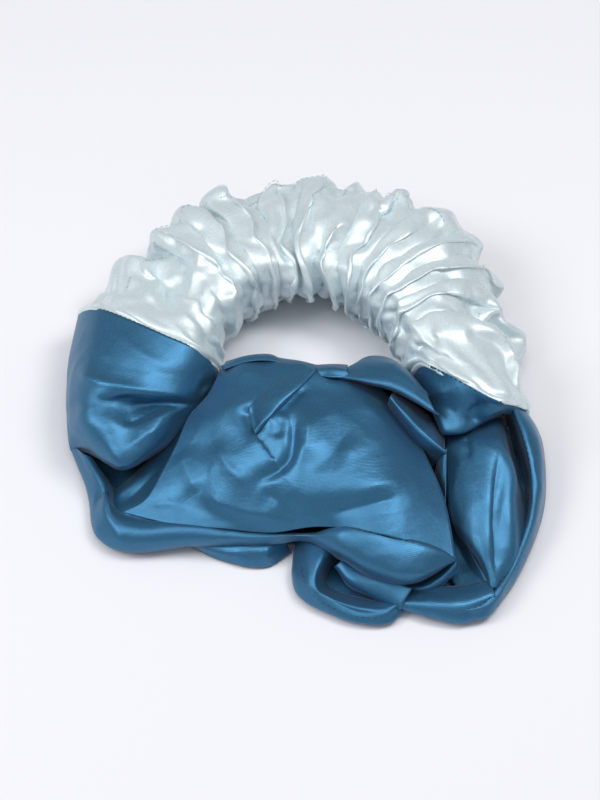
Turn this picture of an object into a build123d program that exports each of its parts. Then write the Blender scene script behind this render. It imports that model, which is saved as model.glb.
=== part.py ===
from build123d import *
import os

# A scrunchie in two satins. The back half of the ring is a gathered tube of cloth with a flat
# elastic inside. The front half is two wide loops of cloth, hooked through each other as a knot.
# The origin is the centre of the ring at table level, +Y points to the gathered back, +Z is up.

# Ring
ring_radius = 67.0
tube_width = 46.0
tube_height = 40.0
tube_corner = 12.0
cloth = 1.2

# Seam line between the back and the front, and the gap that keeps their solids apart
joint_y = 4.0
joint_gap = 0.3
thread = 0.6

# Elastic, and the bar tacks at its two ends
elastic_radius = 60.0
elastic_width = 20.0
elastic_thickness = 1.0
tack_length = 3.0
tack_width = 16.0

# Front loops: the left one stands round the right one, whose middle passes through it
loop_cloth = 1.5
sheet = 3.0
sheet_corner = 0.8
passage_left = -27.5
fold_outer = 41.0
knot_gap = 0.3
bight_corner = 7.0
wing_left = 46.0
slot_front = -79.0
slot_back = -17.0
slot_gap = 1.2
left_hem_height = 37.5
right_hem_height = 14.0
left_hem_box = ((passage_left, -110.0), (36.0, -60.0))
right_hem_box = ((44.0, -110.0), (110.0, -30.0))
tail = 20.0

outer = ring_radius + tube_width / 2
inner = ring_radius - tube_width / 2
front_end = joint_y - thread
back_end = joint_y + joint_gap

left_outline = [
    (-outer, front_end + tail), (-outer, -38), (-62, -92), (8, -94), (fold_outer, -74),
    (fold_outer, -22), (24, -3), (-34, -3), (-inner, 8), (-inner, front_end + tail),
]
right_outline = [
    (outer, front_end + tail), (outer, 2), (104, -24), (103, -56), (91, -92), (56, -100),
    (4, -94), (-27, -80), (-27, -12), (-10, 2), (34, 2), (inner, 12), (inner, front_end + tail),
]
corner_radius = 13.0


def ring_section(width, height, corner):
    """A closed outline of the ring's cross-section, in the XZ plane at its right-hand side"""
    with BuildSketch() as section:
        with Locations((ring_radius, tube_height / 2)):
            RectangleRounded(width, height, corner)
    return section.sketch


def loop_outline(points, inset):
    """The plan of a front loop, with round corners, drawn in by the inset"""
    with BuildSketch() as outline:
        with BuildLine():
            Polyline(points, close=True)
        make_face()
        corners = [v for v in outline.vertices() if v.Y < front_end + tail / 2]
        fillet(corners, corner_radius)
        if inset != 0:
            offset(amount=-inset, mode=Mode.REPLACE)
    return outline.sketch


def soften(radius):
    """Round the top and bottom edges of the solid that has just been extruded"""
    ends = faces().sort_by(Axis.Z)
    fillet(ends[0].edges() + ends[-1].edges(), radius)


# The gathered cover: a hollow half ring, open at both ends
with BuildPart() as back_cover:
    with BuildSketch(Plane.XZ):
        add(ring_section(tube_width, tube_height, tube_corner))
        hollow = ring_section(tube_width - 2 * cloth, tube_height - 2 * cloth, tube_corner - cloth)
        add(hollow, mode=Mode.SUBTRACT)
    revolve(axis=Axis.Z, revolution_arc=180)
    split(bisect_by=Plane.XZ.offset(-back_end), keep=Keep.BOTTOM)

# Its lengthwise seam, inside the outer wall
with BuildPart() as back_cover_seam_thread:
    with BuildSketch(Plane.XZ):
        with Locations((outer - cloth - thread / 2, tube_height / 2)):
            Rectangle(thread, 2 * thread)
    revolve(axis=Axis.Z, revolution_arc=180)
    split(bisect_by=Plane.XZ.offset(-back_end), keep=Keep.BOTTOM)

# The elastic stands on edge inside the cover
with BuildPart() as elastic_band:
    with BuildSketch(Plane.XZ):
        with Locations((elastic_radius, tube_height / 2)):
            Rectangle(elastic_thickness, elastic_width)
    revolve(axis=Axis.Z, revolution_arc=180)
    split(bisect_by=Plane.XZ.offset(-back_end), keep=Keep.BOTTOM)

# A bar tack closes each end of the elastic
tack_face = (elastic_radius - elastic_thickness / 2) ** 2 - (back_end + tack_length) ** 2
tack_x = tack_face**0.5 - thread / 2
tacks = []
for side in (-1, 1):
    with BuildPart() as tack:
        with Locations((side * tack_x, back_end + tack_length / 2, tube_height / 2)):
            Box(thread, tack_length, tack_width)
    tacks.append(tack)

# The left loop: a closed wing on the left, then a sheet over the knot, a fold and a sheet under it
with BuildPart() as left_wing_void:
    with BuildSketch(Plane.XY.offset(loop_cloth)):
        add(loop_outline(left_outline, loop_cloth))
    extrude(amount=tube_height - 2 * loop_cloth)
    soften(tube_corner - loop_cloth)
    split(bisect_by=Plane.YZ.offset(passage_left - loop_cloth), keep=Keep.BOTTOM)

with BuildPart() as left_wing:
    with BuildSketch():
        add(loop_outline(left_outline, 0))
    extrude(amount=tube_height)
    soften(tube_corner)
    add(left_wing_void.part, mode=Mode.SUBTRACT)
    split(bisect_by=Plane.YZ.offset(passage_left), keep=Keep.BOTTOM)
    split(bisect_by=Plane.XZ.offset(-front_end), keep=Keep.TOP)

with BuildPart() as front_loop_left:
    with BuildSketch():
        add(loop_outline(left_outline, 0))
    extrude(amount=tube_height)
    soften(sheet_corner)
    passage_width = fold_outer - sheet - passage_left
    with BuildSketch(Plane.XZ):
        with Locations((passage_left + passage_width / 2, tube_height / 2)):
            Rectangle(passage_width, tube_height - 2 * sheet)
    extrude(amount=2 * outer, both=True, mode=Mode.SUBTRACT)
    split(bisect_by=Plane.YZ.offset(passage_left), keep=Keep.TOP)
    add(left_wing.part)

# The right loop: its middle is thinner, to pass between the sheets of the left loop
bight_low = sheet + knot_gap
bight_height = tube_height - 2 * bight_low
slot_left = fold_outer - sheet - slot_gap
slot_right = fold_outer + slot_gap


def fold_slit(inset):
    """The slit in the right loop that the fold of the left loop passes through"""
    width = slot_right - slot_left - 2 * inset
    length = slot_back - slot_front - 2 * inset
    with BuildSketch() as slit:
        with Locations(((slot_left + slot_right) / 2, (slot_front + slot_back) / 2)):
            Rectangle(width, length)
    return slit.sketch


with BuildPart() as right_wing_void:
    with BuildSketch(Plane.XY.offset(loop_cloth)):
        add(loop_outline(right_outline, loop_cloth))
    extrude(amount=tube_height - 2 * loop_cloth)
    soften(tube_corner - loop_cloth)
    split(bisect_by=Plane.YZ.offset(wing_left + loop_cloth), keep=Keep.TOP)

with BuildPart() as right_wing:
    with BuildSketch():
        add(loop_outline(right_outline, 0))
    extrude(amount=tube_height)
    soften(tube_corner)
    add(right_wing_void.part, mode=Mode.SUBTRACT)
    split(bisect_by=Plane.YZ.offset(wing_left), keep=Keep.TOP)
    split(bisect_by=Plane.XZ.offset(-front_end), keep=Keep.TOP)

with BuildPart() as bight_void:
    with BuildSketch(Plane.XY.offset(bight_low + loop_cloth)):
        add(loop_outline(right_outline, loop_cloth))
    extrude(amount=bight_height - 2 * loop_cloth)
    soften(bight_corner - loop_cloth)
    with BuildSketch():
        add(fold_slit(-loop_cloth))
    extrude(amount=tube_height, mode=Mode.SUBTRACT)
    split(bisect_by=Plane.YZ.offset(wing_left - loop_cloth), keep=Keep.BOTTOM)
    split(bisect_by=Plane.XZ.offset(loop_cloth - front_end), keep=Keep.TOP)

with BuildPart() as front_loop_right:
    with BuildSketch(Plane.XY.offset(bight_low)):
        add(loop_outline(right_outline, 0))
    extrude(amount=bight_height)
    soften(bight_corner)
    add(bight_void.part, mode=Mode.SUBTRACT)
    with BuildSketch():
        add(fold_slit(0))
    extrude(amount=tube_height, mode=Mode.SUBTRACT)
    split(bisect_by=Plane.YZ.offset(wing_left), keep=Keep.BOTTOM)
    split(bisect_by=Plane.XZ.offset(-front_end), keep=Keep.TOP)
    add(right_wing.part)


# The stitched hems, on the front faces of the loops
def hem_sketch(points, low, high):
    """A line of stitching round a loop's plan, between two corners of a box"""
    with BuildSketch() as hem:
        add(loop_outline(points, -thread))
        add(loop_outline(points, 0), mode=Mode.SUBTRACT)
        with Locations(((low[0] + high[0]) / 2, (low[1] + high[1]) / 2)):
            Rectangle(high[0] - low[0], high[1] - low[1], mode=Mode.INTERSECT)
    return hem.sketch


with BuildPart() as left_loop_seam_thread:
    with BuildSketch(Plane.XY.offset(left_hem_height)):
        add(hem_sketch(left_outline, *left_hem_box))
    extrude(amount=2 * thread)

with BuildPart() as right_loop_seam_thread:
    with BuildSketch(Plane.XY.offset(right_hem_height)):
        add(hem_sketch(right_outline, *right_hem_box))
    extrude(amount=2 * thread)

# The seams between the blue and the pale cloth, round the ring's section
joint_seams = []
for side in (-1, 1):
    with BuildPart() as joint_seam:
        with BuildSketch(Plane.XZ.offset(-joint_y)):
            with Locations((side * ring_radius, tube_height / 2)):
                RectangleRounded(tube_width, tube_height, tube_corner)
                RectangleRounded(
                    tube_width - 2 * loop_cloth,
                    tube_height - 2 * loop_cloth,
                    tube_corner - loop_cloth,
                    mode=Mode.SUBTRACT,
                )
        extrude(amount=thread)
    joint_seams.append(joint_seam)

pieces = {
    "back_cover": back_cover,
    "back_cover_seam_thread": back_cover_seam_thread,
    "elastic_band": elastic_band,
    "elastic_tack_left": tacks[0],
    "elastic_tack_right": tacks[1],
    "front_loop_left": front_loop_left,
    "front_loop_right": front_loop_right,
    "left_loop_seam_thread": left_loop_seam_thread,
    "right_loop_seam_thread": right_loop_seam_thread,
    "left_joint_seam_thread": joint_seams[0],
    "right_joint_seam_thread": joint_seams[1],
}
os.makedirs("parts", exist_ok=True)
for name, piece in pieces.items():
    piece.part.label = name
    export_step(piece.part, f"parts/{name}.step")
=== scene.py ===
import math

import bpy
from mathutils import Matrix, Vector, noise


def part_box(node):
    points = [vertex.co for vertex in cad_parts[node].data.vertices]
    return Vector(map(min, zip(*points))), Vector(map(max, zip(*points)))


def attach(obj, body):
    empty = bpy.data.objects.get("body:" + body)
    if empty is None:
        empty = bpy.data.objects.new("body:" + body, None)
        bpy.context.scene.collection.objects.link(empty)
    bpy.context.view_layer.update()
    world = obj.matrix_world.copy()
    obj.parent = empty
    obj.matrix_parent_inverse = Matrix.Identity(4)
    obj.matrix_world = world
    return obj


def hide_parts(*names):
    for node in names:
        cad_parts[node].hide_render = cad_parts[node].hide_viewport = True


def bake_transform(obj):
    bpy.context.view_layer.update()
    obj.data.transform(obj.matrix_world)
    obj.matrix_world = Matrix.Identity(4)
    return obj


# A two-tone satin scrunchie. Lengths in this script are in metres, apart from the cloth nets,
# which are in millimetres. +Y points from the knotted front to the gathered back.
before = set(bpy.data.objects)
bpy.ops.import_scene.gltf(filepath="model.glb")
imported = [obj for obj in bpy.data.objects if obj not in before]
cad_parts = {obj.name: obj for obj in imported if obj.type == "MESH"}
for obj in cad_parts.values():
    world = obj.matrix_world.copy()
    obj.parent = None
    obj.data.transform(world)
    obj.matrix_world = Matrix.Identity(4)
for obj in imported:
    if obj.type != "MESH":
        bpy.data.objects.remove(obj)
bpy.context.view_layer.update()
scene = bpy.context.scene

# The ring's radius, the plane where the cover meets the loops, and the thickness of the cloth
MM = 0.001
RING = 0.067
JOINT_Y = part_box("back_cover")[0].y
CLOTH = 0.00045

# Each panel of cloth is a net: rows of points (across, toward the back, height), in millimetres,
# with a smooth surface laid through them. A seam runs from the outer side of the ring over the top.
LEFT_SEAM = [
    (-96, 8, 14), (-92, 4, 26), (-82, -2, 36), (-68, -8, 40), (-54, -12, 40), (-40, -13, 35),
    (-32, -11, 20), (-34, -10, 6), (-50, -8, 1), (-70, -4, 1), (-88, 6, 2),
]
RIGHT_SEAM = [
    (92, 1, 13), (91, -4, 24), (85, -11, 34), (78, -14, 39), (68, -12, 42), (57, -6, 40),
    (48, 1, 33), (45, 3, 22), (47, 5, 8), (60, 7, 1), (75, 4, 1), (88, 0, 5),
]

LEFT_PANELS = {
    "left_sleeve": [
        LEFT_SEAM,
        [(-94, -14, 11), (-90, -18, 23), (-80, -23, 34), (-67, -26, 38), (-53, -26, 37), (-41, -22, 32),
         (-31, -16, 18), (-33, -17, 5), (-50, -21, 1), (-69, -20, 1), (-87, -15, 1)],
        [(-90, -31, 9), (-87, -36, 20), (-79, -39, 30), (-69, -40, 34), (-56, -37, 33), (-44, -33, 29),
         (-35, -25, 19), (-38, -27, 5), (-53, -32, 1), (-69, -34, 1), (-84, -31, 1)],
        [(-88, -38, 8), (-85, -41, 19), (-77, -45, 29), (-67, -43, 30), (-57, -38, 26), (-45, -34, 25),
         (-36, -28, 18), (-40, -30, 5), (-53, -36, 1), (-69, -38, 1), (-83, -37, 1)],
        [(-86, -44, 7), (-83, -48, 16), (-76, -52, 25), (-66, -54, 28), (-57, -51, 27), (-47, -44, 27),
         (-39, -32, 16), (-42, -34, 5), (-54, -40, 1), (-70, -42, 1), (-81, -42, 1)],
        [(-83, -50, 4), (-81, -52, 10), (-73, -56, 15), (-64, -62, 19), (-56, -64, 20), (-47, -54, 20),
         (-42, -40, 13), (-45, -40, 5), (-55, -45, 1), (-67, -47, 1), (-77, -47, 1)],
        [(-82, -49, 2), (-78, -49, 3), (-73, -51, 4), (-67, -53, 5), (-59, -54, 5), (-51, -47, 5),
         (-47, -41, 3), (-48, -43, 2), (-56, -48, 1), (-67, -49, 1), (-76, -49, 1)],
    ],
    "hem_band": [
        [(-84, -46, 2), (-71, -65, 1), (-63, -83, 1), (-50, -88, 1), (-28, -82, 2), (-3, -77, 4),
         (18, -72, 8), (33, -77, 10), (47, -82, 8), (61, -81, 9), (72, -73, 11)],
        [(-84, -49, 5), (-71, -68, 4), (-62, -87, 4), (-48, -92, 4), (-26, -85, 5), (-2, -81, 7),
         (19, -77, 11), (34, -82, 13), (48, -87, 11), (63, -86, 11), (75, -75, 13)],
        [(-80, -52, 9), (-67, -70, 9), (-59, -86, 9), (-47, -91, 10), (-26, -86, 10), (-2, -82, 12),
         (19, -78, 15), (34, -84, 20), (50, -89, 19), (65, -87, 18), (76, -76, 15)],
        [(-76, -56, 12), (-64, -70, 12), (-57, -83, 12), (-46, -87, 13), (-26, -84, 13), (-2, -81, 14),
         (19, -78, 17), (35, -81, 25), (51, -85, 24), (66, -83, 21), (77, -75, 15)],
        [(-72, -57, 11), (-63, -67, 10), (-58, -77, 9), (-46, -81, 11), (-27, -81, 13), (-3, -78, 13),
         (19, -76, 16), (36, -77, 26), (54, -77, 26), (68, -76, 22), (77, -74, 15)],
        [(-73, -55, 6), (-63, -63, 4), (-58, -73, 3), (-46, -78, 5), (-27, -78, 7), (-3, -76, 8),
         (19, -74, 12), (36, -74, 21), (54, -74, 20), (68, -72, 16), (77, -71, 10)],
    ],
    "flap": [
        [(-31, -3, 18), (-22, -1, 22), (-12, -1, 24), (-2, -1, 24), (8, -1, 24), (17, -1, 26), (24, 2, 20)],
        [(-30, -16, 27), (-21, -15, 35), (-11, -14, 37), (0, -13, 38), (11, -14, 38), (22, -14, 36),
         (33, -11, 31)],
        [(-32, -27, 26), (-21, -29, 35), (-9, -29, 39), (4, -28, 40), (17, -26, 39), (30, -23, 38),
         (42, -19, 29)],
        [(-37, -38, 24), (-24, -42, 33), (-10, -45, 37), (5, -45, 40), (20, -41, 39), (36, -36, 38),
         (51, -28, 26)],
        [(-39, -50, 21), (-27, -53, 26), (-11, -57, 33), (6, -58, 36), (22, -55, 38), (40, -48, 37),
         (59, -39, 25)],
        [(-42, -62, 17), (-29, -65, 21), (-12, -69, 25), (6, -69, 29), (24, -67, 34), (45, -61, 35),
         (67, -51, 22)],
        [(-46, -73, 13), (-31, -75, 15), (-13, -76, 17), (6, -75, 21), (25, -73, 27), (48, -70, 31),
         (72, -62, 20)],
        [(-54, -78, 9), (-33, -81, 12), (-13, -80, 14), (6, -78, 15), (25, -76, 22), (50, -78, 27),
         (77, -75, 16)],
    ],
    "overlap": [
        [(-1, -12, 37), (-6, -21, 38), (-11, -31, 38), (-13, -38, 37), (-10, -46, 36)],
        [(5, -14, 39), (0, -24, 41), (-5, -34, 41), (-9, -41, 39), (-9, -48, 37)],
        [(9, -16, 40), (5, -27, 42), (0, -36, 42), (-4, -44, 41), (-8, -49, 38)],
        [(9, -15, 38), (5, -26, 39), (1, -36, 39), (-3, -44, 39), (-7, -50, 37)],
    ],
    "mid_layer": [
        [(-38, -20, 10), (-47, -40, 6), (-56, -55, 3), (-64, -69, 2)],
        [(-37, -27, 16), (-46, -45, 11), (-55, -60, 6), (-62, -70, 3)],
        [(-34, -31, 20), (-40, -52, 15), (-49, -67, 9), (-58, -75, 5)],
        [(-31, -32, 20), (-36, -55, 16), (-43, -71, 11), (-51, -78, 6)],
        [(-20, -36, 20), (-26, -57, 16), (-32, -73, 10), (-40, -81, 6)],
    ],
    "left_lobe": [
        [(-28, -80, 8), (-13, -79, 8), (0, -76, 8), (11, -73, 8)],
        [(-26, -84, 6), (-12, -85, 6), (3, -82, 8), (11, -75, 6)],
        [(-26, -83, 3), (-12, -86, 3), (4, -85, 3), (12, -76, 3)],
        [(-27, -82, 1), (-12, -86, 1), (5, -85, 1), (13, -76, 1)],
    ],
    "back_layer": [
        [(-33, -4, 8), (-23, 2, 6), (-13, 4, 7), (-6, 0, 12)],
        [(-30, -11, 24), (-20, -7, 27), (-12, -5, 29), (-6, -6, 28)],
        [(-30, -15, 30), (-20, -12, 35), (-11, -11, 37), (-5, -11, 35)],
        [(-28, -18, 32), (-19, -16, 37), (-11, -15, 39), (-4, -14, 38)],
    ],
    "roll_end": [
        [(57, -78, 2), (65, -77, 3), (70, -74, 4), (74, -70, 7)],
        [(58, -83, 5), (66, -83, 6), (72, -79, 8), (77, -73, 11)],
        [(58, -84, 4), (66, -85, 5), (73, -81, 6), (78, -74, 9)],
        [(57, -82, 1), (65, -82, 1), (72, -80, 2), (78, -73, 7)],
    ],
    "back_wall": [
        [(-35, -6, 1), (-5, 1, 1), (27, 5, 1), (49, 9, 1)],
        [(-34, -11, 14), (-5, -1, 14), (27, 4, 14), (51, 2, 14)],
        [(-29, -15, 26), (-3, -9, 30), (28, -4, 30), (53, -4, 24)],
    ],
    "left_bottom": [
        [(-88, -23, 1), (-35, -7, 1), (19, 4, 1)],
        [(-77, -52, 1), (-22, -49, 1), (28, -37, 1)],
        [(-60, -84, 1), (-11, -76, 1), (35, -69, 1)],
    ],
}

RIGHT_PANELS = {
    "front_lobe": [
        [(15, -68, 1), (17, -82, 1), (20, -92, 1), (29, -98, 1), (44, -100, 1), (55, -99, 1), (61, -92, 1)],
        [(14, -72, 4), (16, -86, 4), (20, -95, 3), (29, -100, 3), (44, -103, 3),
         (56, -101, 3), (61, -94, 3)],
        [(18, -75, 9), (20, -88, 9), (24, -96, 8), (32, -100, 6), (44, -102, 5),
         (54, -100, 5), (59, -94, 5)],
        [(23, -78, 12), (24, -89, 12), (26, -96, 10), (32, -98, 8), (44, -100, 6),
         (53, -99, 6), (58, -94, 6)],
        [(30, -78, 12), (27, -88, 11), (28, -95, 9), (34, -97, 7), (44, -99, 7), (51, -97, 6), (57, -93, 5)],
        [(32, -74, 2), (29, -83, 2), (31, -89, 2), (37, -91, 2), (44, -92, 3), (49, -92, 3), (53, -89, 3)],
    ],
    "inner_fold": [
        [(38, -74, 9), (45, -82, 11), (54, -86, 11), (63, -88, 10)],
        [(35, -81, 11), (42, -87, 10), (51, -90, 9), (61, -93, 8)],
        [(32, -84, 9), (39, -89, 8), (50, -92, 6), (60, -95, 5)],
        [(32, -80, 4), (38, -87, 2), (48, -90, 2), (60, -93, 2)],
    ],
    "right_floor": [
        [(52, -87, 3), (65, -84, 5), (80, -80, 6), (91, -76, 8)],
        [(56, -93, 6), (68, -92, 8), (82, -90, 9), (94, -83, 9)],
        [(59, -94, 4), (72, -95, 4), (85, -94, 4), (96, -84, 4)],
        [(58, -91, 1), (70, -91, 1), (84, -91, 1), (95, -81, 1)],
    ],
    "right_rim": [
        [(92, 1, 13), (99, -3, 4), (104, -22, 1), (105, -40, 1), (102, -62, 1), (97, -79, 1),
         (90, -89, 1), (77, -91, 1)],
        [(90, -2, 22), (98, -8, 14), (103, -26, 10), (104, -45, 7), (102, -64, 5), (97, -81, 4),
         (91, -91, 4), (77, -94, 4)],
        [(88, -7, 28), (97, -13, 19), (102, -29, 14), (103, -47, 11), (100, -65, 9), (96, -82, 8),
         (90, -90, 7), (77, -93, 6)],
        [(86, -8, 28), (93, -17, 21), (99, -31, 15), (101, -48, 12), (98, -67, 9), (94, -81, 9),
         (88, -90, 8), (76, -92, 7)],
        [(84, -3, 20), (91, -12, 13), (98, -27, 9), (100, -45, 8), (97, -65, 8), (92, -80, 7),
         (86, -88, 7), (75, -89, 6)],
        [(82, 4, 10), (89, -8, 4), (96, -24, 3), (98, -40, 4), (96, -61, 5), (90, -76, 5),
         (84, -84, 5), (75, -86, 4)],
    ],
    "right_sheet": [
        [(62, -20, 18), (69, -19, 22), (75, -15, 22), (79, -9, 21), (82, -6, 17), (84, -4, 9), (86, -3, 3)],
        [(64, -28, 19), (72, -29, 24), (79, -26, 26), (84, -23, 25), (87, -20, 20),
         (88, -15, 9), (90, -13, 3)],
        [(67, -41, 16), (76, -44, 22), (84, -43, 25), (89, -39, 23), (92, -35, 20),
         (93, -29, 9), (95, -27, 3)],
        [(71, -54, 13), (80, -59, 18), (87, -60, 20), (91, -56, 18), (95, -52, 17),
         (98, -46, 9), (100, -43, 5)],
        [(73, -57, 11), (83, -68, 14), (90, -73, 14), (95, -67, 13), (98, -61, 12),
         (100, -58, 9), (102, -55, 8)],
        [(75, -56, 4), (84, -67, 7), (92, -80, 9), (96, -76, 8), (98, -72, 8), (99, -69, 7), (100, -66, 6)],
    ],
    "dark_pocket": [
        [(69, -47, 14), (79, -62, 9), (91, -78, 8)],
        [(69, -48, 5), (79, -65, 3), (91, -82, 7)],
        [(67, -57, 2), (76, -76, 3), (88, -88, 9)],
    ],
    "right_wing": [
        [(45, 2, 24), (49, 1, 34), (58, -6, 40), (69, -12, 42), (79, -14, 39), (85, -11, 33), (91, -4, 24)],
        [(49, -4, 26), (54, -8, 33), (61, -12, 37), (69, -15, 39), (76, -15, 36),
         (82, -14, 33), (86, -8, 24)],
        [(55, -14, 26), (58, -15, 30), (63, -17, 32), (68, -19, 33), (73, -17, 30),
         (79, -16, 31), (83, -9, 25)],
        [(61, -23, 24), (63, -25, 27), (67, -25, 28), (71, -23, 28), (75, -18, 27),
         (78, -14, 25), (82, -8, 22)],
        [(61, -18, 18), (64, -20, 20), (67, -19, 21), (71, -17, 21), (75, -13, 20),
         (78, -7, 18), (80, -3, 17)],
    ],
    "ribbon_back": [
        [(18, 1, 12), (29, 8, 6), (42, 9, 7), (55, 0, 12)],
        [(19, -5, 28), (28, 4, 28), (40, 2, 28), (54, -9, 26)],
        [(20, -11, 38), (29, -5, 39), (40, -7, 40), (53, -15, 37)],
        [(20, -16, 40), (30, -15, 43), (42, -16, 42), (56, -21, 38)],
        [(18, -17, 39), (30, -20, 43), (43, -20, 41), (59, -24, 36)],
        [(20, -16, 37), (31, -17, 38), (43, -16, 35), (59, -19, 30)],
        [(22, -11, 30), (32, -11, 30), (43, -9, 27), (57, -12, 22)],
    ],
    "ribbon_front": [
        [(40, -11, 30), (48, -13, 26), (55, -15, 22), (62, -21, 19)],
        [(40, -20, 38), (47, -24, 36), (56, -28, 31), (64, -32, 26)],
        [(40, -23, 40), (46, -28, 37), (55, -33, 32), (65, -36, 28)],
        [(39, -21, 33), (44, -25, 28), (51, -30, 21), (59, -33, 13)],
    ],
    "strip": [
        [(65, -34, 29), (67, -44, 22), (69, -55, 15)],
        [(64, -35, 27), (65, -44, 19), (69, -53, 12)],
        [(62, -33, 22), (62, -40, 11), (67, -49, 6)],
    ],
    "tab": [
        [(8, -9, 34), (14, -8, 35), (20, -7, 35)],
        [(9, -15, 39), (15, -14, 41), (21, -14, 41)],
        [(11, -18, 39), (16, -19, 41), (23, -17, 40)],
    ],
    "right_bottom": [
        [(11, 1, 1), (55, 12, 1), (92, 8, 2)],
        [(22, -48, 1), (66, -43, 1), (102, -32, 1)],
        [(21, -91, 1), (60, -91, 1), (93, -82, 1)],
    ],
}

# The folds of a panel: (kind, line, height, width), raised on the cloth or sunk into it, in
# millimetres. A ridge is round, a crease is sharp, and a step is the edge of a layer.
FOLDS_OF = {
    "left_sleeve": [
        ("crease", [(-85, -26, 27), (-75, -36, 33), (-60, -37, 34), (-36, -30, 27)], 2.2, 2.4),
        ("ridge", [(-67, -41, 32), (-53, -38, 30), (-37, -32, 25)], -1.7, 2.0),
        ("crease", [(-61, -50, 27), (-53, -43, 26), (-46, -36, 25)], -1.8, 1.8),
        ("crease", [(-63, -63, 19), (-54, -56, 25), (-46, -46, 27), (-40, -33, 25)], 1.2, 2.6),
        ("crease", [(-75, -12, 38), (-61, -22, 39), (-50, -25, 37)], 0.5, 3.0),
        ("crease", [(-75, -43, 30), (-71, -49, 26), (-67, -56, 20)], 0.9, 2.6),
        ("crease", [(-69, -55, 22), (-62, -60, 20), (-55, -63, 19)], -0.9, 1.8),
        ("crease", [(-50, -50, 26), (-52, -55, 24), (-59, -60, 21)], -0.7, 1.6),
        ("crease", [(-29, -15, 27), (-34, -20, 27), (-36, -28, 26)], 1.6, 1.2),
        ("ridge", [(-34, -26, 25), (-33, -22, 25), (-30, -18, 24)], -5.0, 1.9),
    ],
    "flap": [
        ("ridge", [(8, -24, 39), (4, -33, 40), (-2, -47, 39)], -1.0, 2.2),
        ("step", [(-7, -50, 38), (-2, -55, 37), (6, -62, 36)], -1.3, 4.0),
        ("ridge", [(-14, -37, 38), (-11, -44, 38), (-7, -50, 38)], -2.6, 3.0),
        ("ridge", [(5, -39, 40), (8, -50, 39), (7, -60, 36), (-4, -68, 30)], -2.8, 2.2),
        ("crease", [(9, -33, 40), (13, -50, 39), (12, -65, 37), (6, -72, 33)], 2.0, 4.0),
        ("ridge", [(-5, -42, 39), (-1, -44, 40), (2, -39, 40)], 1.4, 2.6),
        ("ridge", [(0, -42, 40), (1, -46, 40), (2, -51, 39)], -1.3, 2.0),
        ("crease", [(-36, -53, 21), (-30, -62, 20), (-25, -69, 19)], 1.8, 4.0),
        ("crease", [(-24, -70, 19), (-8, -73, 20), (14, -74, 21)], 2.0, 4.5),
        ("crease", [(-23, -51, 30), (-15, -61, 29), (-3, -68, 27)], 1.2, 4.5),
        ("crease", [(0, -69, 28), (8, -71, 25), (16, -73, 21)], -1.4, 3.0),
        ("crease", [(28, -73, 26), (38, -71, 32), (56, -61, 33)], -1.6, 4.0),
        ("crease", [(34, -69, 36), (44, -62, 36), (55, -55, 33)], 1.2, 4.0),
        ("crease", [(-45, -75, 13), (-35, -74, 16), (-27, -76, 17)], -0.9, 2.0),
        ("crease", [(14, -63, 38), (23, -55, 39), (28, -41, 39)], -0.9, 4.0),
        ("crease", [(18, -29, 40), (26, -42, 39), (33, -59, 38)], 0.8, 6.0),
    ],
    "overlap": [("ridge", [(-12, -37, 38), (-10, -43, 38), (-7, -49, 38)], -1.6, 2.6)],
    "mid_layer": [
        ("crease", [(-61, -70, 4), (-53, -61, 8), (-46, -52, 11)], 1.3, 1.6),
        ("crease", [(-56, -72, 5), (-49, -63, 9), (-43, -54, 12)], -1.1, 1.6),
    ],
    "right_wing": [
        ("crease", [(75, -13, 38), (73, -16, 34), (71, -20, 31)], -2.2, 2.0),
        ("crease", [(79, -13, 36), (77, -16, 33), (74, -20, 30)], 1.2, 2.2),
        ("crease", [(55, -9, 36), (61, -17, 34), (64, -23, 30)], 1.0, 3.0),
    ],
    "right_sheet": [
        ("ridge", [(71, -22, 23), (72, -27, 24), (74, -33, 24)], -1.4, 1.4),
        ("crease", [(85, -28, 26), (87, -48, 23), (91, -66, 16), (95, -79, 12)], -2.4, 2.6),
        ("crease", [(87, -24, 25), (91, -33, 21), (95, -43, 17)], 0.7, 3.0),
    ],
    "hem_band": [
        ("crease", [(-67, -73, 9), (-63, -73, 11), (-60, -69, 10)], -1.6, 2.0),
        ("crease", [(25, -74, 18), (31, -79, 16), (36, -84, 13)], 1.3, 3.5),
        ("crease", [(36, -84, 13), (43, -78, 17), (49, -73, 19)], 0.9, 4.0),
        ("crease", [(50, -86, 13), (56, -80, 16), (61, -73, 17)], -0.8, 4.0),
        ("crease", [(-64, -69, 11), (-55, -87, 13), (-49, -92, 8)], 1.0, 3.0),
    ],
    "left_lobe": [("crease", [(2, -81, 8), (5, -83, 6), (6, -86, 3)], 1.2, 1.5)],
}


# ---------------------------------------------------------------- cloth surfaces from nets


def spline_points(points, count, closed=False):
    """count points along a smooth curve through the given ones"""
    points = [Vector(p) for p in points]
    if closed:
        points = points + points[:1]
        ends = points[-2:-1] + points + points[1:2]
    else:
        ends = [2 * points[0] - points[1]] + points + [2 * points[-1] - points[-2]]
    out = []
    for k in range(count):
        s = (len(points) - 1) * k / (count if closed else count - 1)
        i = min(int(s), len(points) - 2)
        t = s - i
        p0, p1, p2, p3 = ends[i : i + 4]
        bend = (2 * p0 - 5 * p1 + 4 * p2 - p3) * t * t
        out.append(0.5 * (2 * p1 + (p2 - p0) * t + bend + (3 * p1 - p0 - 3 * p2 + p3) * t**3))
    return out


def line_length(points):
    return sum((Vector(b) - Vector(a)).length for a, b in zip(points, points[1:]))


def net_grid(rows, step, closed):
    """A fine grid of points, in millimetres, over a net of rows"""
    across = max(6, int(max(line_length(r) for r in rows) / step))
    down = max(5, int(max(line_length(c) for c in zip(*rows)) / step))
    lines = [spline_points(r, across, closed) for r in rows]
    columns = [spline_points([line[i] for line in lines], down) for i in range(across)]
    return [[columns[i][j] for i in range(across)] for j in range(down)]


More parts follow.
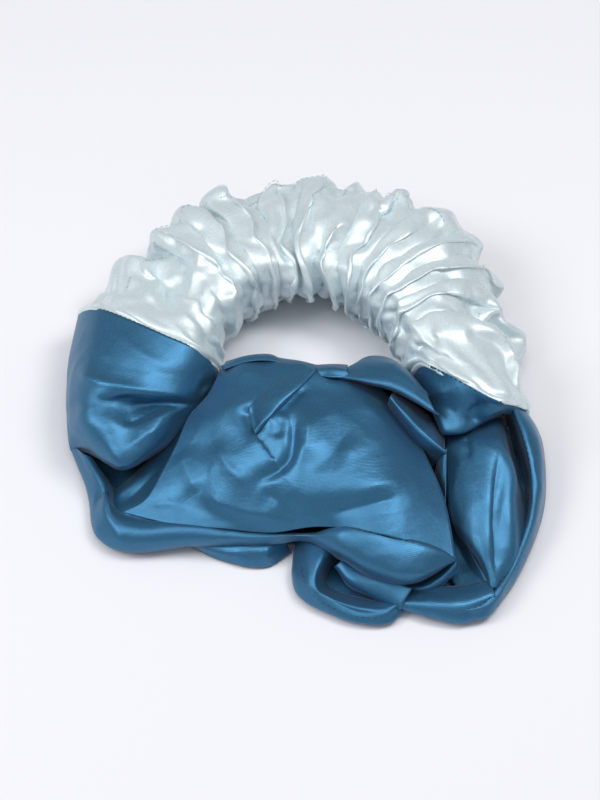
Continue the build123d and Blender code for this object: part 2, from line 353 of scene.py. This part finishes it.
def grid_normals(grid, closed):
    down, across = len(grid), len(grid[0])
    out = []
    for j in range(down):
        row = []
        for i in range(across):
            if closed:
                along = grid[j][(i + 1) % across] - grid[j][i - 1]
            else:
                along = grid[j][min(i + 1, across - 1)] - grid[j][max(i - 1, 0)]
            over = grid[min(j + 1, down - 1)][i] - grid[max(j - 1, 0)][i]
            row.append(over.cross(along).normalized())
        out.append(row)
    return out


def path_distance(point, path):
    """Signed distance to a fold's line, and how far along the line; positive on its left"""
    best, where, side = 1e9, 0.0, 1.0
    for k, (a, b) in enumerate(zip(path, path[1:])):
        ab = b - a
        t = max(0.0, min(1.0, (point - a).dot(ab) / max(ab.length_squared, 1e-9)))
        gap = point - a - ab * t
        if gap.length < best:
            best, where = gap.length, (k + t) / (len(path) - 1)
            side = 1.0 if ab.x * gap.y - ab.y * gap.x > 0 else -1.0
    return best * side, where


def fold_height(point, fold):
    """How far a fold lifts (or sinks) the cloth at a point"""
    kind, path, height, width, middle, reach = fold
    if (point - middle).length > reach:
        return 0.0
    distance, where = path_distance(point, path)
    if abs(distance) > 3 * width:
        return 0.0
    taper = min(1.0, 4 * where + 0.1, 4 * (1 - where) + 0.1)
    if kind == "step":
        return height * taper * math.tanh(distance / 0.8) * math.exp(-abs(distance) / width)
    if kind == "crease":
        return height * taper * math.exp(-abs(distance) / width)
    return height * taper * math.exp(-((distance / width) ** 2))


def prepare_fold(kind, path, height, width):
    """A fold with its path made smooth, and the ball outside which it does nothing"""
    path = spline_points(path, 4 * len(path))
    middle = sum(path, Vector()) / len(path)
    reach = max((p - middle).length for p in path) + 3 * width
    return kind, path, height, width, middle, reach


def creased(place):
    """Uneven cloth: flat facets that meet in soft creases"""
    broad = 1 - 2 * abs(noise.noise(place))
    fine = 1 - 2 * abs(noise.noise(place * 2.3 + Vector((7, 1, 3))))
    return 0.65 * broad + 0.35 * fine - 0.5


def cloth_panel(name, rows, folds=(), ripple=0.9, step=0.9):
    """One panel of cloth as vertices and faces, with its folds and a little unevenness"""
    closed = name.endswith("sleeve")
    grid = net_grid(rows, step, closed)
    normals = grid_normals(grid, closed)
    facing = -1 if not closed and sum(n.z for row in normals for n in row) < 0 else 1
    folds = [prepare_fold(*fold) for fold in folds]
    seed = sum(ord(c) for c in name)
    down, across = len(grid), len(grid[0])
    verts, uvs = [], []
    for j in range(down):
        for i in range(across):
            p = grid[j][i]
            lift = sum(fold_height(p, fold) for fold in folds)
            rim = min(1.0, 6 * min(j / down, 1 - j / down))
            if not closed:
                rim *= min(1.0, 6 * min(i / across, 1 - i / across) + 0.1)
            lift += ripple * rim * creased(p * 0.034 + Vector((seed, 0, 0)))
            q = p + normals[j][i] * lift * facing
            q.z = max(q.z, 0.45)
            verts.append(q * MM)
            uvs.append((i * step * MM, j * step * MM))
    faces = []
    for j in range(down - 1):
        for i in range(across if closed else across - 1):
            k = (i + 1) % across
            faces.append((j * across + i, j * across + k, (j + 1) * across + k, (j + 1) * across + i))
    return verts, faces, uvs


def cloth_object(name, panels, material, thickness):
    """Panels joined into one object, each a thin closed shell"""
    verts, faces, uvs = [], [], []
    for panel_verts, panel_faces, panel_uvs in panels:
        start = len(verts)
        verts += [v[:] for v in panel_verts]
        faces += [tuple(start + k for k in f) for f in panel_faces]
        uvs += panel_uvs
    mesh = bpy.data.meshes.new(name)
    mesh.from_pydata(verts, [], faces)
    layer = mesh.uv_layers.new(name="cloth")
    for loop in mesh.loops:
        layer.data[loop.index].uv = uvs[loop.vertex_index]
    mesh.polygons.foreach_set("use_smooth", [True] * len(mesh.polygons))
    mesh.materials.append(material)
    piece = bpy.data.objects.new(name, mesh)
    scene.collection.objects.link(piece)
    shell = piece.modifiers.new("shell", "SOLIDIFY")
    shell.thickness = thickness
    shell.offset = 0
    apply_modifiers(piece)
    return piece


def apply_modifiers(piece):
    graph = bpy.context.evaluated_depsgraph_get()
    mesh = bpy.data.meshes.new_from_object(piece.evaluated_get(graph), depsgraph=graph)
    piece.modifiers.clear()
    piece.data = mesh


# ---------------------------------------------------------------- the gathered cover

# The mesh: rings along the tube and points round each. The seam runs along one of those points.
COVER_RINGS, COVER_AROUND = 150, 48
COVER_SEAM = 7

# The gathered tube: half its width and height, its middle's height, and how far its back stands out
COVER_WIDE, COVER_TALL, COVER_MIDDLE = 0.0285, 0.0225, 0.0240
BACK_BULGE = 0.007

# The tube as it was cut: longer than it is gathered to, and its distance round
GATHER = 1.5
CLOTH_ROUND = 0.200
CLOTH_LONG = math.pi * RING * GATHER

# The folds that seed the gathers, how far along the tube they fade out toward each seam,
# and the stretch over which the tube turns into the shape of the seam
FOLDS, FOLD_HEIGHT = 15, 0.0050
FOLD_LEAN, FOLD_DRIFT, FOLD_VARIETY = 2.2, 4.2, 0.7
FADE_RIGHT, FADE_LEFT = 0.09, 0.14
MEET_RIGHT, MEET_LEFT = 0.16, 0.20

# The simulation, and the flattening after it
SIM_FRAMES = 22
ON_TABLE = 0.0006
FLATTEN_ABOVE, FLATTEN = 0.036, 0.62


def smooth(x):
    x = max(0.0, min(1.0, x))
    return x * x * (3 - 2 * x)


def seam_ring(seam):
    """Even points round a seam, the outer side first"""
    fine = spline_points(seam, 480, closed=True)
    total = line_length(fine + fine[:1])
    out, walked, k = [], 0.0, 0
    for a, b in zip(fine, fine[1:] + fine[:1]):
        while k < COVER_AROUND and walked + (b - a).length >= total * k / COVER_AROUND:
            out.append(a * MM)
            k += 1
        walked += (b - a).length
    return out


def seeded_fold(u, t, inward):
    """How far the folds move a point of the tube outward, and along the tube"""
    calm = min(1.0, u / FADE_RIGHT, (1 - u) / FADE_LEFT)
    lean = FOLD_LEAN * math.sin(t + 0.4) * (1 if u > 0.5 else -0.8)
    drift = FOLD_DRIFT * noise.noise(Vector((u * 5.5, math.cos(t) * 0.8, math.sin(t) * 0.8)))
    uneven = 0.015 * noise.noise(Vector((u * 7, 3, 1)))
    phase = math.tau * FOLDS * (u + uneven) + lean + drift
    big = 1 + FOLD_VARIETY * noise.noise(Vector((u * 9 + 5, math.cos(t) * 0.5, math.sin(t) * 0.5)))
    outward = FOLD_HEIGHT * big * calm * math.sin(phase) * (1 - 0.3 * inward)
    along = 0.55 * FOLD_HEIGHT * calm * math.sin(2 * phase + 0.6)
    return outward, along


def cover_start():
    """The cover before its simulation: a tube of seeded folds, and the straight tube it was cut as"""
    first = math.asin(JOINT_Y / RING)
    arc = math.pi - 2 * first
    round_cut = CLOTH_ROUND / math.tau
    left_ring, right_ring = seam_ring(LEFT_SEAM), seam_ring(RIGHT_SEAM)
    places, flat = [], []
    for i in range(COVER_RINGS + 1):
        u = i / COVER_RINGS
        left, right = smooth(1 - (1 - u) / MEET_LEFT), smooth(1 - u / MEET_RIGHT)
        for j in range(COVER_AROUND):
            t = math.tau * j / COVER_AROUND
            inward = 0.5 - 0.5 * math.cos(t)
            wave, slide = seeded_fold(u, t, inward)
            bulge = BACK_BULGE * math.sin(math.pi * u) ** 2 * (1 - inward)
            radius = RING + (COVER_WIDE + wave) * math.cos(t) + bulge
            turn = first + arc * u + slide / radius
            height = max(COVER_MIDDLE + (COVER_TALL + wave) * math.sin(t), ON_TABLE)
            place = Vector((radius * math.cos(turn), radius * math.sin(turn), height))
            places.append(place.lerp(right_ring[j], right).lerp(left_ring[j], left))
            flat.append(Vector((CLOTH_LONG * u, round_cut * math.cos(t), round_cut * math.sin(t))))
    return places, flat


def make_cover(material):
    places, flat = cover_start()
    around = COVER_AROUND
    faces = [
        (i + j, i + (j + 1) % around, i + around + (j + 1) % around, i + around + j)
        for i in range(0, COVER_RINGS * around, around)
        for j in range(around)
    ]
    mesh = bpy.data.meshes.new("gathered_cover")
    mesh.from_pydata([p[:] for p in places], [], faces)
    layer = mesh.uv_layers.new(name="cloth")
    for face in mesh.polygons:
        i, j = divmod(face.vertices[0], around)
        for loop, (di, dj) in zip(face.loop_indices, ((0, 0), (0, 1), (1, 1), (1, 0))):
            layer.data[loop].uv = ((i + di) * CLOTH_LONG / COVER_RINGS, (j + dj) * CLOTH_ROUND / around)
    mesh.polygons.foreach_set("use_smooth", [True] * len(mesh.polygons))
    mesh.materials.append(material)
    piece = bpy.data.objects.new("gathered_cover", mesh)
    scene.collection.objects.link(piece)
    gather_cloth(piece, flat)
    return piece


def gather_cloth(piece, flat):
    """Cloth simulation: the tube is cut longer than its elastic, so it buckles into gathers"""
    piece.shape_key_add(name="gathered")
    cut = piece.shape_key_add(name="cut")
    for point, place in zip(cut.data, flat):
        point.co = place
    cut.value = 0
    around = COVER_AROUND
    held = piece.vertex_groups.new(name="held")
    ends = [i * around + j for i in (0, 1, COVER_RINGS - 1, COVER_RINGS) for j in range(around)]
    elastic = [i * around + around // 2 + k for i in range(2, COVER_RINGS - 1) for k in (-1, 0, 1)]
    held.add(ends, 1.0, "REPLACE")
    held.add(elastic, 0.6, "REPLACE")
    cloth = piece.modifiers.new("Cloth", "CLOTH")
    cloth.point_cache.frame_end = SIM_FRAMES
    s = cloth.settings
    s.quality = 6
    s.mass = 0.15
    s.rest_shape_key = cut
    s.tension_stiffness = s.compression_stiffness = 12
    s.shear_stiffness = 4
    s.bending_stiffness = 25
    s.tension_damping = s.compression_damping = 8
    s.shear_damping = 5
    s.air_damping = 3
    s.vertex_group_mass = "held"
    s.pin_stiffness = 1
    s.use_pressure = True
    s.uniform_pressure_force = 6
    s.effector_weights.gravity = 0
    c = cloth.collision_settings
    c.use_collision = False
    c.use_self_collision = True
    c.self_distance_min = 0.0009
    c.self_friction = 2
    c.collision_quality = 3
    scene.frame_start, scene.frame_end = 1, SIM_FRAMES
    for number in range(1, SIM_FRAMES + 1):
        scene.frame_set(number)
    graph = bpy.context.evaluated_depsgraph_get()
    mesh = bpy.data.meshes.new_from_object(piece.evaluated_get(graph), depsgraph=graph)
    piece.modifiers.clear()
    piece.shape_key_clear()
    piece.vertex_groups.clear()
    piece.data = mesh
    scene.frame_set(1)


def rest_cover(piece):
    """Press the cover a little flatter, and rest it on the table"""
    for v in piece.data.vertices:
        if v.co.z > FLATTEN_ABOVE:
            v.co.z = FLATTEN_ABOVE + (v.co.z - FLATTEN_ABOVE) * FLATTEN
        v.co.z = max(v.co.z, ON_TABLE)


def finish_cover(piece, thickness):
    """Smooth the cover and give it its thickness"""
    fine = piece.modifiers.new("fine", "SUBSURF")
    fine.levels = fine.render_levels = 1
    shell = piece.modifiers.new("shell", "SOLIDIFY")
    shell.thickness = thickness
    shell.offset = -1
    apply_modifiers(piece)
    piece.data.polygons.foreach_set("use_smooth", [True] * len(piece.data.polygons))


# ---------------------------------------------------------------- materials


THREAD_PITCH = 0.0006


def new_material(name):
    material = bpy.data.materials.new(name)
    material.use_nodes = True
    tree = material.node_tree
    return material, tree, tree.nodes["Principled BSDF"]


def math_node(tree, kind, a, b):
    node = tree.nodes.new("ShaderNodeMath")
    node.operation = kind
    for socket, value in zip(node.inputs, (a, b)):
        if isinstance(value, (int, float)):
            socket.default_value = value
        else:
            tree.links.new(value, socket)
    return node.outputs[0]


def noise_node(tree, vector, scale, detail):
    node = tree.nodes.new("ShaderNodeTexNoise")
    node.inputs["Scale"].default_value = scale
    node.inputs["Detail"].default_value = detail
    tree.links.new(vector, node.inputs["Vector"])
    return node.outputs["Fac"]


def weave_node(tree, vector, pitch):
    """Fine ribs both ways, the weft stronger than the warp"""
    ribs = []
    for axis in ("X", "Y"):
        wave = tree.nodes.new("ShaderNodeTexWave")
        wave.bands_direction = axis
        wave.inputs["Scale"].default_value = 0.314 / pitch
        wave.inputs["Distortion"].default_value = 1.2
        wave.inputs["Detail"].default_value = 1.0
        wave.inputs["Detail Scale"].default_value = 0.4
        tree.links.new(vector, wave.inputs["Vector"])
        ribs.append(wave.outputs["Fac"])
    return weighted_sum(tree, (ribs[0], 0.45), (ribs[1], 1.0))


def weighted_sum(tree, *terms):
    total = 0.0
    for value, weight in terms:
        total = math_node(tree, "ADD", math_node(tree, "MULTIPLY", value, weight), total)
    return total


def satin(name, dark, light, roughness, metallic):
    """A woven satin: long floats that shine one way, fine ribs, slubs and uneven dye"""
    material, tree, shader = new_material(name)
    along_cloth = tree.nodes.new("ShaderNodeUVMap")
    along_cloth.uv_map = "cloth"
    place = tree.nodes.new("ShaderNodeTexCoord")
    weave = weave_node(tree, along_cloth.outputs[0], THREAD_PITCH)
    slub = noise_node(tree, along_cloth.outputs[0], 900, 3)
    crease = noise_node(tree, place.outputs["Object"], 75, 4)
    height = weighted_sum(tree, (weave, 0.00003), (crease, 0.0007), (slub, 0.00006))
    bump = tree.nodes.new("ShaderNodeBump")
    bump.inputs["Strength"].default_value = 0.55
    bump.inputs["Distance"].default_value = 1.0
    tree.links.new(height, bump.inputs["Height"])
    tree.links.new(bump.outputs[0], shader.inputs["Normal"])
    ramp = tree.nodes.new("ShaderNodeValToRGB")
    for stop, position, colour in zip(ramp.color_ramp.elements, (0.25, 0.8), (dark, light)):
        stop.position = position
        stop.color = colour
    tree.links.new(weighted_sum(tree, (weave, 0.22), (slub, 0.65)), ramp.inputs["Fac"])
    tree.links.new(ramp.outputs["Color"], shader.inputs["Base Color"])
    rough = math_node(tree, "ADD", math_node(tree, "MULTIPLY", slub, 0.12), roughness - 0.06)
    tree.links.new(rough, shader.inputs["Roughness"])
    tangent = tree.nodes.new("ShaderNodeTangent")
    tangent.direction_type = "UV_MAP"
    tangent.uv_map = "cloth"
    tree.links.new(tangent.outputs[0], shader.inputs["Tangent"])
    shader.inputs["Metallic"].default_value = metallic
    shader.inputs["Anisotropic"].default_value = 0.45
    shader.inputs["Specular IOR Level"].default_value = 0.3
    shader.inputs["Sheen Weight"].default_value = 0.12
    shader.inputs["Sheen Roughness"].default_value = 0.4
    return material


def thread_material(name, colour):
    material, tree, shader = new_material(name)
    twist = tree.nodes.new("ShaderNodeTexNoise")
    twist.inputs["Scale"].default_value = 2500
    place = tree.nodes.new("ShaderNodeTexCoord")
    tree.links.new(place.outputs["Object"], twist.inputs["Vector"])
    ramp = tree.nodes.new("ShaderNodeValToRGB")
    ramp.color_ramp.elements[0].color = tuple(c * 0.6 for c in colour[:3]) + (1,)
    ramp.color_ramp.elements[1].color = colour
    tree.links.new(twist.outputs["Fac"], ramp.inputs["Fac"])
    tree.links.new(ramp.outputs["Color"], shader.inputs["Base Color"])
    bump = tree.nodes.new("ShaderNodeBump")
    bump.inputs["Distance"].default_value = 0.0002
    tree.links.new(twist.outputs["Fac"], bump.inputs["Height"])
    tree.links.new(bump.outputs[0], shader.inputs["Normal"])
    shader.inputs["Roughness"].default_value = 0.6
    return material


def floor_material():
    material, tree, shader = new_material("studio_floor")
    shader.inputs["Base Color"].default_value = (0.80, 0.80, 0.835, 1)
    shader.inputs["Roughness"].default_value = 0.7
    shader.inputs["Specular IOR Level"].default_value = 0.2
    return material


PALE = satin("pale_satin", (0.60, 0.71, 0.745, 1), (0.78, 0.86, 0.885, 1), 0.38, 0.36)
BLUE = satin("blue_satin", (0.036, 0.140, 0.262, 1), (0.054, 0.195, 0.345, 1), 0.40, 0.68)
PALE_THREAD = thread_material("pale_thread", (0.62, 0.72, 0.75, 1))
BLUE_THREAD = thread_material("blue_thread", (0.012, 0.05, 0.11, 1))
ELASTIC = thread_material("elastic", (0.75, 0.75, 0.72, 1))


# ---------------------------------------------------------------- stitches and elastic

STITCH, STITCH_GAP, STITCH_THICK = 0.0015, 0.0008, 0.00022


def walk(path, length, gap):
    """The two ends of each stitch along a path"""
    pairs, carried, start, drawing = [], 0.0, Vector(path[0]), True
    for a, b in zip(path, path[1:]):
        a, b = Vector(a), Vector(b)
        span = (b - a).length
        done = 0.0
        while span > 0:
            need = (length if drawing else gap) - carried
            if done + need > span:
                carried += span - done
                break
            done += need
            carried = 0.0
            place = a.lerp(b, done / span)
            if drawing:
                pairs.append((start, place))
            start = place
            drawing = not drawing
    return pairs


def stitch_line(name, path, material, lift=0.0, length=STITCH, gap=STITCH_GAP, thick=STITCH_THICK):
    """A row of stitches, each a small capsule of thread lying on the cloth"""
    verts, faces = [], []
    sides = 6
    for a, b in walk(path, length, gap):
        along = (b - a).normalized()
        across = along.cross(Vector((0, 0, 1)))
        across = across.normalized() if across.length > 0.1 else Vector((1, 0, 0))
        up = across.cross(along)
        start = len(verts)
        for share, size in ((-0.04, 0.3), (0.12, 0.9), (0.5, 1.15), (0.88, 0.9), (1.04, 0.3)):
            centre = a.lerp(b, share) + Vector((0, 0, lift))
            for k in range(sides):
                turn = math.tau * k / sides
                verts.append(centre + (across * math.cos(turn) + up * math.sin(turn)) * thick * size)
        for ring in range(4):
            for k in range(sides):
                m = (k + 1) % sides
                low, high = start + ring * sides, start + (ring + 1) * sides
                faces.append((low + k, low + m, high + m, high + k))
        faces.append(tuple(start + k for k in reversed(range(sides))))
        faces.append(tuple(start + 4 * sides + k for k in range(sides)))
    return plain_object(name, verts, faces, material)


def plain_object(name, verts, faces, material):
    mesh = bpy.data.meshes.new(name)
    mesh.from_pydata([v[:] for v in verts], [], faces)
    mesh.polygons.foreach_set("use_smooth", [True] * len(mesh.polygons))
    mesh.materials.append(material)
    piece = bpy.data.objects.new(name, mesh)
    scene.collection.objects.link(piece)
    return piece


def net_line(row, closed=False):
    """A net's row as a smooth line in metres"""
    points = spline_points(row, 40 * len(row), closed)
    if closed:
        points = points + points[:1]
    return [p * MM for p in points]


ELASTIC_RADIUS, ELASTIC_TALL, ELASTIC_THICK, ELASTIC_RIBS = 0.058, 0.020, 0.001, 220
ELASTIC_FOOT = 0.008


def make_elastic(material):
    """The flat elastic inside the cover, ribbed where it is gathered"""
    first = math.asin(JOINT_Y / ELASTIC_RADIUS) + 0.03
    verts = []
    for k in range(ELASTIC_RIBS + 1):
        turn = first + (math.pi - 2 * first) * k / ELASTIC_RIBS
        rib = 0.00012 * (1 if k % 2 else -1)
        for radius, height in (
            (ELASTIC_RADIUS + ELASTIC_THICK / 2 + rib, 0),
            (ELASTIC_RADIUS + ELASTIC_THICK / 2 + rib, ELASTIC_TALL),
            (ELASTIC_RADIUS - ELASTIC_THICK / 2 - rib, ELASTIC_TALL),
            (ELASTIC_RADIUS - ELASTIC_THICK / 2 - rib, 0),
        ):
            verts.append((radius * math.cos(turn), radius * math.sin(turn), ELASTIC_FOOT + height))
    faces = [(0, 1, 2, 3)]
    for k in range(ELASTIC_RIBS):
        for m in range(4):
            n = (m + 1) % 4
            faces.append((4 * k + m, 4 * k + 4 + m, 4 * k + 4 + n, 4 * k + n))
    last = 4 * ELASTIC_RIBS
    faces.append((last + 3, last + 2, last + 1, last))
    return plain_object("ribbed_elastic", [Vector(v) for v in verts], faces, material)


def make_tack(name, material, side):
    """Zigzag stitching that holds one end of the elastic"""
    turn = math.asin(JOINT_Y / ELASTIC_RADIUS) + 0.05
    if side < 0:
        turn = math.pi - turn
    outward = Vector((math.cos(turn), math.sin(turn), 0))
    along = Vector((-math.sin(turn), math.cos(turn), 0))
    path = []
    for k in range(9):
        height = ELASTIC_FOOT + 0.002 + 0.002 * k
        path.append(outward * (ELASTIC_RADIUS + 0.0007) + along * (0.001 if k % 2 else -0.001))
        path[-1].z = height
    return stitch_line(name, path, material, length=0.0024, gap=0.0002)


# ---------------------------------------------------------------- studio


FLOOR_HALF = 8.0
SOFT_LIGHTS = (
    ((-0.70, -0.38, 0.88), 0.60, 5.2),
    ((0.52, 0.16, 1.06), 0.45, 5.0),
    ((0.00, -0.05, 1.30), 0.80, 3.6),
)
SKY_STEPS = ((0.0, 0.45), (0.35, 0.50), (0.75, 0.80), (1.0, 1.0))
SKY_TO_FRONT, SKY_TO_TOP = -0.5, 0.85
SKY_STRENGTH = 0.58


def make_studio():
    mesh = bpy.data.meshes.new("floor")
    corners = [(x * FLOOR_HALF, y * FLOOR_HALF, 0) for x, y in ((-1, -1), (1, -1), (1, 1), (-1, 1))]
    mesh.from_pydata(corners, [], [(0, 1, 2, 3)])
    floor = bpy.data.objects.new("floor", mesh)
    mesh.materials.append(floor_material())
    scene.collection.objects.link(floor)
    make_sky()
    for place, width, watts in SOFT_LIGHTS:
        lamp = bpy.data.lights.new("softbox", "AREA")
        lamp.shape = "DISK"
        lamp.size = width
        lamp.energy = watts
        light = bpy.data.objects.new("softbox", lamp)
        light.location = place
        light.rotation_euler = (-Vector(place)).to_track_quat("-Z", "Y").to_euler()
        scene.collection.objects.link(light)


def make_sky():
    """A studio lit from above: the light falls off toward the horizon"""
    world = bpy.data.worlds.new("studio")
    world.use_nodes = True
    tree = world.node_tree
    sky = tree.nodes["Background"]
    coords = tree.nodes.new("ShaderNodeTexCoord")
    split = tree.nodes.new("ShaderNodeSeparateXYZ")
    ramp = tree.nodes.new("ShaderNodeValToRGB")
    tree.links.new(coords.outputs["Generated"], split.inputs[0])
    front = math_node(tree, "MULTIPLY", split.outputs["Y"], SKY_TO_FRONT)
    high = math_node(tree, "MULTIPLY", split.outputs["Z"], SKY_TO_TOP)
    tree.links.new(math_node(tree, "ADD", front, high), ramp.inputs["Fac"])
    stops = ramp.color_ramp.elements
    while len(stops) < len(SKY_STEPS):
        stops.new(0.5)
    for stop, (height, light) in zip(stops, SKY_STEPS):
        stop.position = height
        stop.color = (light * 0.97, light * 0.975, light, 1)
    tree.links.new(ramp.outputs["Color"], sky.inputs["Color"])
    sky.inputs["Strength"].default_value = SKY_STRENGTH
    scene.world = world


CAMERA_TURN, CAMERA_RISE = math.radians(13), math.radians(52)
CAMERA_FAR, VIEW_HEIGHT = 0.95, 0.32
CAMERA_TARGET = Vector((0.002, -0.013, 0.015))


def make_camera():
    turn, rise = CAMERA_TURN, CAMERA_RISE
    back = Vector((math.sin(turn) * math.cos(rise), -math.cos(turn) * math.cos(rise), math.sin(rise)))
    right = Vector((math.cos(turn), math.sin(turn), 0))
    up = back.cross(right)
    lens = bpy.data.cameras.new("camera")
    camera = bpy.data.objects.new("camera", lens)
    place = Matrix((right, up, back)).transposed().to_4x4()
    place.translation = CAMERA_TARGET + back * CAMERA_FAR
    camera.matrix_world = place
    lens.sensor_width = 36
    lens.lens = lens.sensor_width * CAMERA_FAR / VIEW_HEIGHT
    scene.collection.objects.link(camera)
    scene.camera = camera


# ---------------------------------------------------------------- the object

SEAM_LIFT = 0.0003
FRINGE_HAIRS, FRINGE_REACH = 26, 20


def add_cover():
    cover = make_cover(PALE)
    rest_cover(cover)
    column = [cover.data.vertices[i * COVER_AROUND + COVER_SEAM].co.copy() for i in range(COVER_RINGS + 1)]
    finish_cover(cover, CLOTH)
    seam = stitch_line("cover_seam", column, PALE_THREAD, lift=0.0002)
    elastic = make_elastic(ELASTIC)
    parts = (
        (cover, "back_cover", "pale_satin"),
        (seam, "back_cover_seam_thread", "pale_thread"),
        (elastic, "elastic_band", "elastic"),
        (make_tack("tack_right", PALE_THREAD, 1), "elastic_tack_right", "pale_thread"),
        (make_tack("tack_left", PALE_THREAD, -1), "elastic_tack_left", "pale_thread"),
    )
    for piece, node, slot in parts:
        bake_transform(piece)
        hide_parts(node)


def join(pieces):
    """Join pieces into the first of them"""
    verts, faces = [], []
    for piece in pieces:
        start = len(verts)
        verts += [v.co.copy() for v in piece.data.vertices]
        faces += [tuple(start + k for k in p.vertices) for p in piece.data.polygons]
    first = pieces[0]
    joined = plain_object(first.name + "_all", verts, faces, first.data.materials[0])
    first.data = joined.data
    for spare in pieces[1:] + [joined]:
        bpy.data.objects.remove(spare)
    return first


def add_front(piece, node):
    """A piece of the knotted front, standing for a CAD node"""
    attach(piece, "front")
    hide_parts(node)


def add_loop(name, nets, node, hems, thread_node):
    panels = [cloth_panel(key, rows, FOLDS_OF.get(key, ())) for key, rows in nets.items()]
    loop = cloth_object(name, panels, BLUE, CLOTH)
    rows = [stitch_line(name + "_seam", hem, BLUE_THREAD, lift=SEAM_LIFT) for hem in hems]
    add_front(loop, node)
    add_front(join(rows), thread_node)


def add_joint_seam(name, seam, node):
    path = net_line(seam, closed=True)
    thread = stitch_line(name, path, BLUE_THREAD, length=0.0011, gap=0.0012, thick=0.00025)
    add_front(thread, node)


def add_fringe():
    """Loose threads at the raw edge of the left joint"""
    hairs = []
    ring = seam_ring(LEFT_SEAM)
    for k in range(FRINGE_HAIRS):
        root = ring[k % FRINGE_REACH] + Vector((0, 0, SEAM_LIFT))
        sway = noise.noise_vector(Vector((k * 1.7, 2, 5)))
        reach = 0.0012 + 0.0022 * abs(noise.noise(Vector((k * 2.3, 9, 1))))
        side = Vector((-0.35, 0.7, 0.35)) + sway
        middle = root + side.normalized() * reach * 0.6
        tip = middle + (side + sway * 1.5).normalized() * reach * 0.5
        path = [root, middle, tip]
        hairs.append(stitch_line("fringe", path, PALE_THREAD, length=0.0006, gap=0.00001, thick=0.00007))
    fringe = join(hairs)
    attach(fringe, "front")


def add_knot():
    """The two loops of the front, their hems, and the seams that join them to the cover"""
    band_hem = [p + Vector((0, -0.0006, 0)) for p in net_line(LEFT_PANELS["hem_band"][4])]
    rim_hem = net_line(RIGHT_PANELS["right_rim"][3])
    lobe_hem = net_line(RIGHT_PANELS["front_lobe"][2])
    add_loop("left_loop", LEFT_PANELS, "front_loop_left", [band_hem], "left_loop_seam_thread")
    right_hems = [rim_hem, lobe_hem]
    seam_node = "right_loop_seam_thread"
    add_loop("right_loop", RIGHT_PANELS, "front_loop_right", right_hems, seam_node)
    add_joint_seam("left_joint", LEFT_SEAM, "left_joint_seam_thread")
    add_joint_seam("right_joint", RIGHT_SEAM, "right_joint_seam_thread")


scene.view_settings.view_transform = "Standard"
make_studio()
make_camera()
add_cover()
add_knot()
add_fringe()
